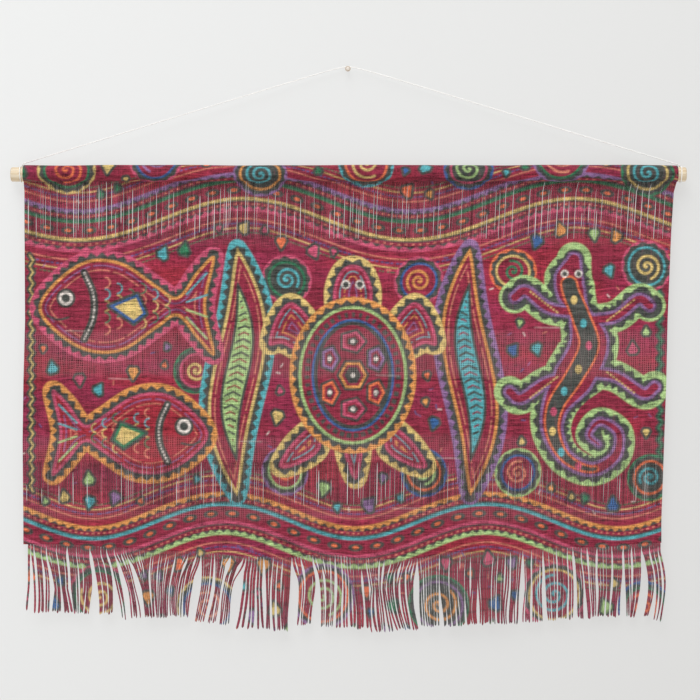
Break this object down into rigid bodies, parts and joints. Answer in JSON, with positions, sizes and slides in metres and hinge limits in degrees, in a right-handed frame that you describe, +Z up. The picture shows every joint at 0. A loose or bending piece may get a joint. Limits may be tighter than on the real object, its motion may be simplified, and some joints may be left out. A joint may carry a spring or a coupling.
{
  "type": "mola wall hanging on a wooden rod, with its hanging cord and nail",
  "caption": "Printed woven wall hanging with a rod pocket along the top and a loose fringe below, held by a thin cord over a round-headed nail.",
  "frame": {"origin": "centre of the nail shank's flat cut on the wall plane", "axes": "+Z up, +X along the rod to the viewer's right, +Y into the wall; the printed front faces -Y and the wall is the plane y = 0"},
  "size_m": [0.8178, 0.0222, 0.6844],
  "materials": {
    "rod": "plain sanded",
    "cloth": "printed weave",
    "fringe": "printed loose strands",
    "cord": "twisted cotton",
    "nail": "satin"
  },
  "bodies": {
    "root": {"rod": "rod", "cloth": "cloth", "fringe": "fringe", "cord": "cord", "nail": "nail"}
  },
  "joints": []
}
